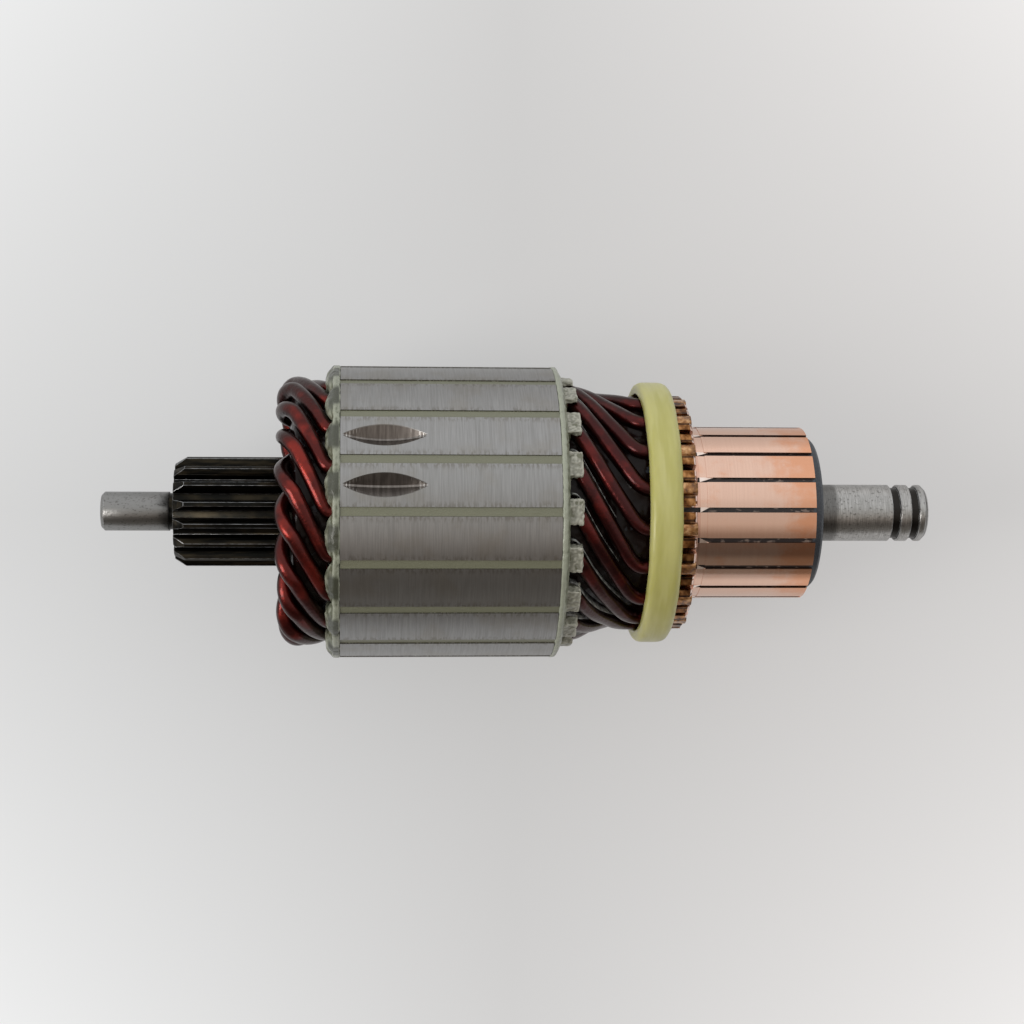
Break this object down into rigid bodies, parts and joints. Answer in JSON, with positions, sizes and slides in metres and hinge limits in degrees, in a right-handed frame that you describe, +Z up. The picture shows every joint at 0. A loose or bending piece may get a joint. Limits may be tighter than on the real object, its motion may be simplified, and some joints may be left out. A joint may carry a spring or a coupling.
{
  "type": "starter motor armature",
  "caption": "Wound motor armature with a pinion cut on its shaft, a slotted lamination stack, wave-wound wire coils, a banding ring and a copper commutator.",
  "frame": {"origin": "on the shaft axis, at the middle of the lamination stack", "axes": "+X along the shaft towards the commutator, +Z up, with the middle of a slot facing +Z"},
  "size_m": [0.205, 0.0723, 0.0723],
  "materials": {
    "steel_shaft": "ground, with a dark oxidised pinion",
    "lamination_steel": "turned",
    "epoxy_coating": "semi-gloss",
    "insulation_sheet": "matt",
    "slot_resin": "matt",
    "enamelled_wire": "gloss enamel",
    "copper": "turned",
    "phenolic": "matt moulding",
    "steel_bush": "turned",
    "glass_band": "satin"
  },
  "bodies": {
    "root": {"shaft": "steel_shaft", "lamination_stack": "lamination_steel", "drive_end_insulator": "epoxy_coating", "commutator_end_insulator": "epoxy_coating", "slot_liners": "insulation_sheet", "slot_wedges": "slot_resin", "drive_end_layer_sheet": "insulation_sheet", "commutator_end_layer_sheet": "insulation_sheet", "coil_01": "enamelled_wire", "coil_02": "enamelled_wire", "coil_03": "enamelled_wire", "coil_04": "enamelled_wire", "coil_05": "enamelled_wire", "coil_06": "enamelled_wire", "coil_07": "enamelled_wire", "coil_08": "enamelled_wire", "coil_09": "enamelled_wire", "coil_10": "enamelled_wire", "coil_11": "enamelled_wire", "coil_12": "enamelled_wire", "coil_13": "enamelled_wire", "coil_14": "enamelled_wire", "coil_15": "enamelled_wire", "coil_16": "enamelled_wire", "coil_17": "enamelled_wire", "coil_18": "enamelled_wire", "segment_01": "copper", "segment_02": "copper", "segment_03": "copper", "segment_04": "copper", "segment_05": "copper", "segment_06": "copper", "segment_07": "copper", "segment_08": "copper", "segment_09": "copper", "segment_10": "copper", "segment_11": "copper", "segment_12": "copper", "segment_13": "copper", "segment_14": "copper", "segment_15": "copper", "segment_16": "copper", "segment_17": "copper", "segment_18": "copper", "commutator_hub": "phenolic", "commutator_bush": "steel_bush", "banding_ring": "glass_band"}
  },
  "joints": []
}
